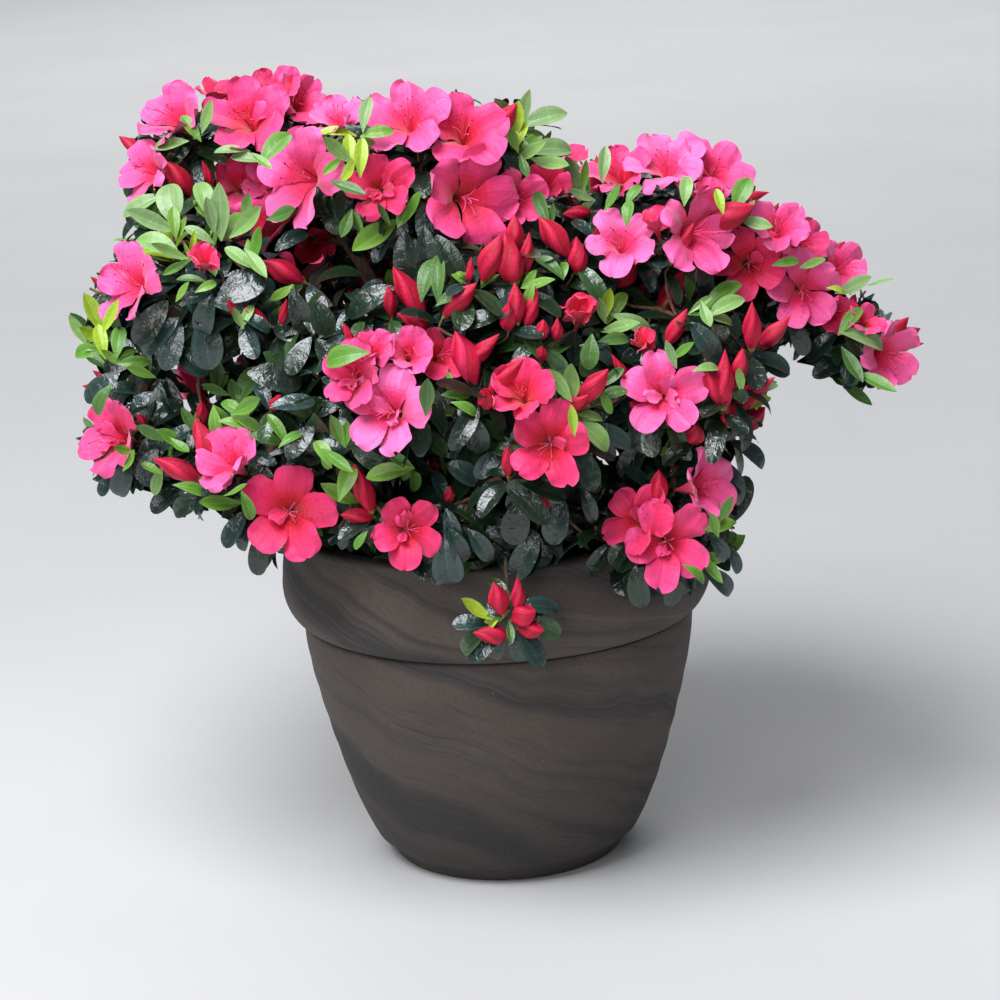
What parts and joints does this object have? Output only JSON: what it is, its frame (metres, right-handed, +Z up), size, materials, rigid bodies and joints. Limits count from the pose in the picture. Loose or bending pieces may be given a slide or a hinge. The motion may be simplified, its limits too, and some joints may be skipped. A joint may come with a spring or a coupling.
{
  "type": "azalea shrub in a clay pot",
  "caption": "Evergreen azalea in flower: a dense uneven mound of foliage and blossom on a short forked stem, growing in a round banded clay pot.",
  "frame": {"origin": "centre of the pot's flat underside", "axes": "+Z up along the pot's axis, -Y towards the shrub's fullest face, +X towards the tip that reaches out furthest on one side"},
  "size_m": [0.511, 0.395, 0.486],
  "materials": {
    "clay": "matte",
    "mix": "matte",
    "bark": "matte",
    "foliage": "satin",
    "blossom": "satin"
  },
  "bodies": {
    "root": {"pot": "clay", "potting_mix": "mix", "stem": "bark", "bough_top_centre": "bark", "bough_top_left": "bark", "bough_top_back": "bark", "bough_right_upper": "bark", "bough_left_middle": "bark", "bough_right_shoulder": "bark", "bough_back_right": "bark", "bough_back_left": "bark", "bough_centre_left": "bark", "bough_centre_right": "bark", "bough_right_middle": "bark", "bough_back_centre": "bark", "bough_front_sprig": "bark", "foliage_top_left_high": "blossom", "foliage_top_left_low": "blossom", "foliage_top_centre": "blossom", "foliage_top_back": "blossom", "foliage_right_upper": "blossom", "foliage_right_shoulder": "blossom", "foliage_far_right_tip": "blossom", "foliage_left_middle": "foliage", "foliage_left_tip": "foliage", "foliage_left_low_tip": "foliage", "foliage_lower_left": "foliage", "foliage_centre_left": "foliage", "foliage_centre_upper": "foliage", "foliage_centre_right": "blossom", "foliage_lower_centre": "foliage", "foliage_right_middle": "blossom", "foliage_lower_right": "blossom", "foliage_back_left": "foliage", "foliage_back_right": "blossom", "foliage_back_centre": "foliage", "foliage_back_low_left": "foliage", "foliage_back_low": "foliage", "foliage_back_low_right": "blossom", "foliage_front_sprig": "foliage"}
  },
  "joints": []
}
